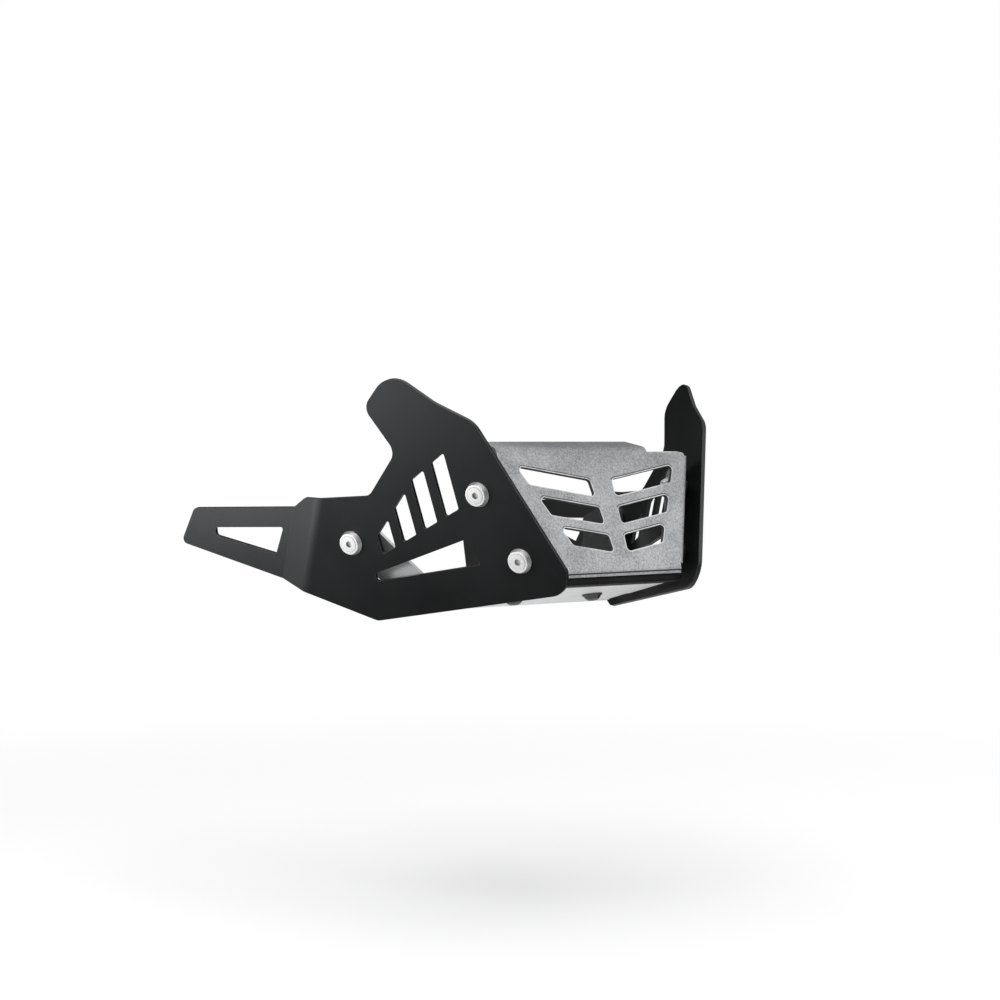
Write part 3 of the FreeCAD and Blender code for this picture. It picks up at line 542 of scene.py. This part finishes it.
# Fasteners: each is turned once and set out at its places, with heights outwards from the sheet's outer face
turning = {"sides": 60, "weld": 0.0005, "noArea": 0.0001, "keepSharp": 28.0}
hexTurn = math.pi / 3  # a six-sided form looks the same after this turn


def turnRow(row, angle):
    # a row is a radius and a height, and a third value makes it six-sided: the radius is then half the
    # width over flats, and the third value is how far the corners rise for each millimetre further out
    radius, height = row[:2]
    if len(row) > 2:
        corner = (angle + hexTurn / 2) % hexTurn - hexTurn / 2
        radius = row[0] / math.cos(corner)
        height = row[1] + row[2] * (radius - row[0])
    return radius, height


def turnMesh(name, rows):
    work = bmesh.new()
    radiusOf, socketOf = work.verts.layers.float.new("fromAxis"), work.verts.layers.float.new("inSocket")
    sides = turning["sides"]
    rings = []
    for row in rows:
        ring = []
        for k in range(sides):
            angle = math.tau * k / sides
            radius, height = turnRow(row, angle)
            vert = work.verts.new(Vector((radius * math.cos(angle), radius * math.sin(angle), height)) * mm)
            vert[radiusOf] = radius * mm
            vert[socketOf] = float(len(row) > 2 and row[2] == 0)  # only a socket's six-sided rows are level
            ring.append(vert)
        rings.append(ring)
    for ring, after in zip(rings, rings[1:] + rings[:1]):
        for k in range(sides):
            work.faces.new((ring[k], ring[(k + 1) % sides], after[(k + 1) % sides], after[k]))
    bmesh.ops.remove_doubles(work, verts=work.verts, dist=turning["weld"] * mm)
    bmesh.ops.dissolve_degenerate(work, edges=work.edges, dist=turning["noArea"] * mm)
    bmesh.ops.recalc_face_normals(work, faces=work.faces)
    return smoothMesh(name, work, turning["keepSharp"])


settingInputs = {
    "Places": "Geometry", "Fastener": "Object", "Finish": "Material", "Turn": "Float", "Turn Seed": "Int",
}


def settingTree(inputs):
    tree = bpy.data.node_groups.new("fastener setting", "GeometryNodeTree")
    for label, kind in inputs.items():
        tree.interface.new_socket(label, in_out="INPUT", socket_type="NodeSocket" + kind)
    tree.interface.new_socket("Set Out", in_out="OUTPUT", socket_type="NodeSocketGeometry")
    given = addNode(tree, "NodeGroupInput").outputs
    shape = addNode(tree, "GeometryNodeObjectInfo", {"Object": given["Fastener"]}).outputs["Geometry"]
    axis = addNode(tree, "GeometryNodeInputNamedAttribute", {"Name": "axis"}, data_type="FLOAT_VECTOR")
    along = {"Vector": axis.outputs["Attribute"]}
    stand = addNode(tree, "FunctionNodeAlignRotationToVector", along, axis="Z")
    most = {3: given["Turn"], "Seed": given["Turn Seed"]}  # place 3 is the float's upper end
    turn = addNode(tree, "FunctionNodeRandomValue", most, data_type="FLOAT").outputs[1]
    spin = addNode(tree, "FunctionNodeAxisAngleToRotation", {"Axis": (0, 0, 1), "Angle": turn})
    turns = {"Rotation": stand.outputs["Rotation"], "Rotate By": spin.outputs["Rotation"]}
    both = addNode(tree, "FunctionNodeRotateRotation", turns, rotation_space="LOCAL").outputs["Rotation"]
    places = {"Points": given["Places"], "Instance": shape, "Rotation": both}
    placed = addNode(tree, "GeometryNodeInstanceOnPoints", places).outputs["Instances"]
    solid = addNode(tree, "GeometryNodeRealizeInstances", {"Geometry": placed}).outputs["Geometry"]
    faced = addNode(tree, "GeometryNodeSetMaterial", {"Geometry": solid, "Material": given["Finish"]})
    addNode(tree, "NodeGroupOutput", {"Set Out": faced.outputs["Geometry"]})
    return tree


setting = settingTree(settingInputs)


def setOut(name, values, finish, rows, places):
    spots = bpy.data.meshes.new(name)
    spots.from_pydata([place for place, axis in places], [], [])
    axes = spots.attributes.new("axis", "FLOAT_VECTOR", "POINT")
    axes.data.foreach_set("vector", [part for place, axis in places for part in axis])
    piece = settle(name, spots, finish)
    shape = bpy.data.objects.new(name + "Shape", turnMesh(name, rows))
    chosen = {"Fastener": shape, "Finish": finish, "Turn": values["turn"], "Turn Seed": values["seed"]}
    sockets = {item.name: item.identifier for item in setting.interface.items_tree}
    modifier = piece.modifiers.new("setting", "NODES")
    modifier.node_group = setting
    for label, value in chosen.items():
        modifier[sockets[label]] = value
    makePlain(piece)
    bpy.data.objects.remove(shape)
    weighNormals(piece)
    hand(piece, values["node"])
    print(name, "set out at", len(places), "places")


noTurn = {"turn": 0.0, "seed": 1}
sideBoltPlaces = ((-103.6, 101.3), (-132.0, 51.6), (13.7, 61.6))  # rearward run and rise up the plate


def sideBoltSpots(places):
    corner, run, rise, out = plateAxes(sidePlate)
    right = [(corner + (run * a + rise * b) * mm, out) for a, b in places]
    flip = Vector((-1, 1, 1))
    return right + [(place * flip, axis * flip) for place, axis in right]


basePlaces = {"x": 39.0, "y": -81.25, "z": 17.254, "ramp": 10.8}


def baseBoltSpots(values):
    ramp = math.radians(values["ramp"])
    down = Vector((0, -math.sin(ramp), -math.cos(ramp)))
    return [(Vector((side * values["x"], values["y"], values["z"])) * mm, down) for side in (-1, 1)]


sideSpots = sideBoltSpots(sideBoltPlaces)
baseSpots = baseBoltSpots(basePlaces)

# the toe and shoulder are steps out from and above the foot, and out from and below the face's rim
rosette = {
    "node": "rosettes", "slot": "rosette_aluminium", **noTurn,
    "foot": 9.45, "face": 8.0, "height": 4.0, "seat": 6.5, "seatEase": 0.1, "sink": 3.0, "bore": 3.3,
    "toe": ((-0.15, 0.0), (-0.05, 0.1)), "shoulder": ((0.16, 0.4), (-0.02, 0.1), (-0.3, 0.0)),
}


def rosetteRows(values):
    top, seat, ease = values["height"], values["seat"], values["seatEase"]
    toe = [(values["foot"] + out, up) for out, up in values["toe"]]
    shoulder = [(values["face"] + out, top - down) for out, down in values["shoulder"]]
    bowl = [(seat + ease, top), (seat, top - ease), (values["bore"], top - values["sink"])]
    return [(values["bore"], 0), *toe, *shoulder, *bowl]


setOut("sideRosettes", rosette, rosetteAluminium, rosetteRows(rosette), sideSpots)

hexSocket = {"drill": 0.8, "ease": 0.2}  # the drilled floor's share of the key, and the eased mouth


def socketRows(key, floor, point, mouth):
    ease = hexSocket["ease"]
    return [(0, floor - point), (key * hexSocket["drill"], floor), (key, floor, 0.0),
            (key, mouth - ease, 0.0), (key + ease, mouth, 0.0)]


threadForm = {"crest": 0.2, "root": 0.6}  # where a crest ends and a root lies along the pitch


def threadRows(radius, start, end, pitch, depth):
    rows, height = [], start
    while height - pitch > end:
        rows += [(radius, height), (radius, height - pitch * threadForm["crest"]),
                 (radius - depth, height - pitch * threadForm["root"])]
        height -= pitch
    return rows


# the rim's steps lead in from the head's edge and down from its top
sideBolt = {
    "node": "side_bolts", "slot": "bolt_steel", "turn": hexTurn, "seed": 4,
    "top": 4.0, "head": 6.2, "sink": 3.0, "rim": ((0.45, 0.0), (0.12, 0.12), (0.35, 0.4)),
    "key": 1.99, "keyDepth": 2.2, "keyPoint": 0.0,
    "shank": 3.0, "tip": -23.2, "tipEase": 0.5, "thread": -4.0, "runOut": 1.0, "pitch": 1.0, "depth": 0.45,
}


def sideBoltRows(values):
    top, shank, tip = values["top"], values["shank"], values["tip"]
    rim = [(values["head"] - inward, top - down) for inward, down in values["rim"]]
    return [
        *socketRows(values["key"], top - values["keyDepth"], values["keyPoint"], top),
        *rim, (shank, top - values["sink"]),
        *threadRows(shank, values["thread"], tip + values["runOut"], values["pitch"], values["depth"]),
        (shank - values["tipEase"], tip), (0, tip),
    ]


setOut("sideBolts", sideBolt, boltSteel, sideBoltRows(sideBolt), sideSpots)

sleeve = {
    "node": "spacer_sleeves", "slot": "bracket_black", **noTurn,
    "outer": 7.0, "bore": 3.3, "near": -3.0, "far": -11.2, "ease": 0.35, "boreEase": 0.2,
}


def sleeveRows(values):
    outer, bore, near, far = values["outer"], values["bore"], values["near"], values["far"]
    ease, boreEase = values["ease"], values["boreEase"]
    return [(bore, near - boreEase), (bore + boreEase, near), (outer - ease, near), (outer, near - ease),
            (outer, far + ease), (outer - ease, far), (bore + boreEase, far), (bore, far + boreEase)]


setOut("spacerSleeves", sleeve, bracketBlack, sleeveRows(sleeve), sideSpots)


def washerRows(values):
    outer, bore, top = values["outer"], values["bore"], values["top"]
    low, ease, topEase = top - values["thick"], values["ease"], values["topEase"]
    return [(bore, top), (outer - topEase, top), (outer, top - topEase),
            (outer, low + ease), (outer - ease, low), (bore, low)]


sideWasher = {
    "node": "side_washers", "slot": "bolt_steel", **noTurn,
    "outer": 6.0, "bore": 3.3, "top": -14.2, "thick": 1.6, "ease": 0.2, "topEase": 0.4,
}
setOut("sideWashers", sideWasher, boltSteel, washerRows(sideWasher), sideSpots)

nutForm = {"face": 0.93, "rim": 0.1, "slope": 30.0, "boreEase": 0.3, "collarStep": 0.3, "collarEase": 0.4}


def nutRows(values):
    top, low, flat, bore = values["top"], values["top"] - values["thick"], values["flat"], values["bore"]
    slope, face, rim = math.tan(math.radians(nutForm["slope"])), flat * nutForm["face"], nutForm["rim"]
    rows = [(bore, top), (face, top), (flat, top - rim, -slope), (flat, low + rim, slope), (face, low)]
    collar = values["collar"]
    if collar:
        end = low - values["collarLength"]
        rows += [(collar, low), (collar, end + nutForm["collarStep"]), (collar - nutForm["collarEase"], end)]
        low = end
    return rows + [(bore + nutForm["boreEase"], low), (bore, low + nutForm["boreEase"])]


sideNut = {
    "node": "side_nuts", "slot": "bolt_steel", **noTurn,
    "flat": 4.99, "bore": 3.0, "top": -15.8, "thick": 4.8, "collar": 4.3, "collarLength": 1.2,
}
setOut("sideNuts", sideNut, boltSteel, nutRows(sideNut), sideSpots)

baseWasher = {
    "node": "base_washers", "slot": "base_bolt_dark", **noTurn,
    "outer": 8.0, "bore": 4.5, "top": 1.6, "thick": 1.6, "ease": 0.2, "topEase": 0.4, "upper": -8.6,
}
baseBolt = {
    "node": "base_bolts", "slot": "base_bolt_dark", "turn": hexTurn, "seed": 7,
    "seat": baseWasher["top"], "head": 7.0, "tall": 4.4, "domeSteps": 8, "foot": 0.05, "footRise": 0.02,
    "key": 2.51, "keyDepth": 2.6, "keyPoint": 0.6, "keyRim": 0.75,
    "shank": 4.0, "length": 20.0, "tipEase": 0.6, "thread": -6.5, "runOut": 1.2, "pitch": 1.25, "depth": 0.55,
}


def domeRows(values):
    ball = (values["head"] ** 2 + values["tall"] ** 2) / (2 * values["tall"])
    top = values["seat"] + values["tall"]
    first, steps = values["key"] + values["keyRim"], values["domeSteps"]
    rows = []
    for step in range(steps + 1):
        radius = first + (values["head"] - first) * step / steps
        rows.append((radius, top - ball + math.sqrt(ball ** 2 - radius ** 2)))
    return socketRows(values["key"], top - values["keyDepth"], values["keyPoint"], rows[0][1]) + rows


def baseBoltRows(values):
    seat, shank, tip = values["seat"], values["shank"], values["seat"] - values["length"]
    return [
        *domeRows(values),
        (values["head"] - values["foot"], seat + values["footRise"]), (shank, seat),
        *threadRows(shank, values["thread"], tip + values["runOut"], values["pitch"], values["depth"]),
        (shank - values["tipEase"], tip), (0, tip),
    ]


setOut("baseBolts", baseBolt, baseBoltDark, baseBoltRows(baseBolt), baseSpots)
washerSpots = baseSpots + [(place + axis * baseWasher["upper"] * mm, axis) for place, axis in baseSpots]
setOut("baseWashers", baseWasher, baseBoltDark, washerRows(baseWasher), washerSpots)

baseNut = {
    "node": "base_nuts", "slot": "bolt_steel", **noTurn,
    "flat": 6.49, "bore": 4.0, "top": -8.6, "thick": 6.5, "collar": 0,
}
setOut("baseNuts", baseNut, boltSteel, nutRows(baseNut), baseSpots)


# Floor, light and camera
def shownRay(tree):
    path = addNode(tree, "ShaderNodeLightPath").outputs
    mirrored = worked(tree, "ADD", path["Is Glossy Ray"], path["Is Transmission Ray"], clamp=True)
    return worked(tree, "ADD", path["Is Camera Ray"], mirrored, clamp=True)


# over the distances given as clears, the floor's share of white goes from the first to the last
floorLook = {
    "drop": 0.22, "reach": 9.0, "tone": 0.86, "rough": 0.8, "white": (0.25, 1.0), "clears": (0.3, 1.1),
}


def layFloor(values):
    work = bmesh.new()
    bmesh.ops.create_grid(work, x_segments=1, y_segments=1, size=values["reach"])
    for vert in work.verts:
        vert.co.z = -values["drop"]
    mesh = bpy.data.meshes.new("floor")
    work.to_mesh(mesh)
    work.free()
    finish, tree, shader = newFinish("floor pale")
    dull = {"Base Color": grey(values["tone"]), "Roughness": values["rough"], "Specular IOR Level": 0.0}
    feed(tree, shader, dull)
    flat = addNode(tree, "ShaderNodeVectorMath", {0: objectPlace(tree), 1: (1, 1, 0)}, operation="MULTIPLY")
    away = addNode(tree, "ShaderNodeVectorMath", {0: flat.outputs[0]}, operation="LENGTH").outputs["Value"]
    clear = spread(tree, away, values["white"], values["clears"])
    white = addNode(tree, "ShaderNodeEmission", {"Color": grey(1.0), "Strength": 1.0})
    shown = worked(tree, "MULTIPLY", clear, shownRay(tree), clamp=True)
    both = addNode(tree, "ShaderNodeMixShader", {0: shown, 1: shader.outputs[0], 2: white.outputs[0]})
    feed(tree, tree.nodes["Material Output"], {"Surface": both.outputs[0]})
    settle("floor", mesh, finish)


roomLook = {"light": 0.55, "shown": 1.0}  # how strongly the room lights, and how white it shows


def lightRoom(values):
    world = bpy.data.worlds.new("studio")
    bpy.context.scene.world = world
    world.use_nodes = True
    tree = world.node_tree
    strength = spread(tree, shownRay(tree), (values["light"], values["shown"]))
    feed(tree, tree.nodes["Background"], {"Color": grey(1.0), "Strength": strength})


def hangLamp(name, values):
    lamp = bpy.data.lights.new(name, "AREA")
    lamp.shape = "RECTANGLE"
    lamp.size, lamp.size_y = values["wide"], values["tall"]
    lamp.energy = values["power"]
    holder = bpy.data.objects.new(name, lamp)
    holder.location = values["at"]
    holder.visible_camera = False
    aim = Vector(values["aim"]) - Vector(values["at"])
    holder.rotation_euler = aim.to_track_quat("-Z", "Y").to_euler()
    bpy.context.scene.collection.objects.link(holder)


def cardFinish(tone):
    finish, tree, shader = newFinish("dark card")
    feed(tree, shader, {"Base Color": grey(tone), "Roughness": 1.0, "Specular IOR Level": 0.0})
    return finish


def layCard(name, values, finish, shades):
    corners = [(x, y, z) for x in values["x"] for y in values["y"] for z in values["z"]]
    mesh = bpy.data.meshes.new(name)
    mesh.from_pydata(corners, [], [(0, 1, 3, 2)])
    card = settle(name, mesh, finish)
    card.visible_camera = card.visible_transmission = False
    card.visible_glossy = not shades
    card.visible_diffuse = card.visible_shadow = shades


layFloor(floorLook)
lightRoom(roomLook)
topLamp = {"at": (-0.1, -0.2, 1.9), "aim": (0, -0.05, 0.08), "wide": 1.8, "tall": 1.8, "power": 24.0}
frontLamp = {"at": (1.2, -1.5, 1.0), "aim": (0, -0.1, 0.08), "wide": 1.2, "tall": 1.0, "power": 20.0}
sideLamp = {"at": (-0.72, 0.27, -0.02), "aim": (-0.15, 0.05, 0.12), "wide": 0.6, "tall": 0.16, "power": 1.85}
for name, values in (("topLamp", topLamp), ("frontLamp", frontLamp), ("sideLamp", sideLamp)):
    hangLamp(name, values)
# dark cards around the guard, seen only as reflections, keep the black plates black
cards = {
    "rightCard": {"x": (-1.8, -0.3), "y": (-0.9, 1.3), "z": (-0.2,)},
    "leftCard": {"x": (0.3, 1.8), "y": (-0.9, 0.35), "z": (-0.2,)},
    "frontCard": {"x": (0.3, 2.2), "y": (-2.6, -0.9), "z": (-0.2,)},
    "tallCard": {"x": (0.0, 2.4), "y": (-2.1,), "z": (-0.2, 1.1)},
    "rearCard": {"x": (-0.2, 1.3), "y": (0.9,), "z": (-0.2, 1.0)},
    "sideCard": {"x": (1.8,), "y": (-1.2, 1.2), "z": (-0.2, 1.7)},
}
cardDark = cardFinish(tone=0.02)
for name, values in cards.items():
    layCard(name, values, cardDark, shades=False)
topFlag = {"x": (-0.09, 0.14), "y": (-0.17, 0.1), "z": (0.21,)}  # shades the guard's top and is not seen
layCard("topFlag", topFlag, cardDark, shades=True)
print("floor, lamps and cards placed")

cameraPlace = {
    "at": (-1063.0, -1374.95, 137.05), "turn": 38.0, "pitch": 1.568, "lens": 78.33, "sensor": 36.0,
    "near": 50.0, "far": 50000.0,
}


def placeCamera(values):
    lens = bpy.data.cameras.new("photo view")
    lens.lens, lens.sensor_width = values["lens"], values["sensor"]
    lens.clip_start, lens.clip_end = values["near"] * mm, values["far"] * mm
    camera = bpy.data.objects.new("photo view", lens)
    camera.location = Vector(values["at"]) * mm
    camera.rotation_euler = (math.radians(90 - values["pitch"]), 0, math.radians(-values["turn"]))
    bpy.context.scene.collection.objects.link(camera)
    bpy.context.scene.camera = camera


placeCamera(cameraPlace)
bpy.context.scene.view_settings.view_transform = "Standard"
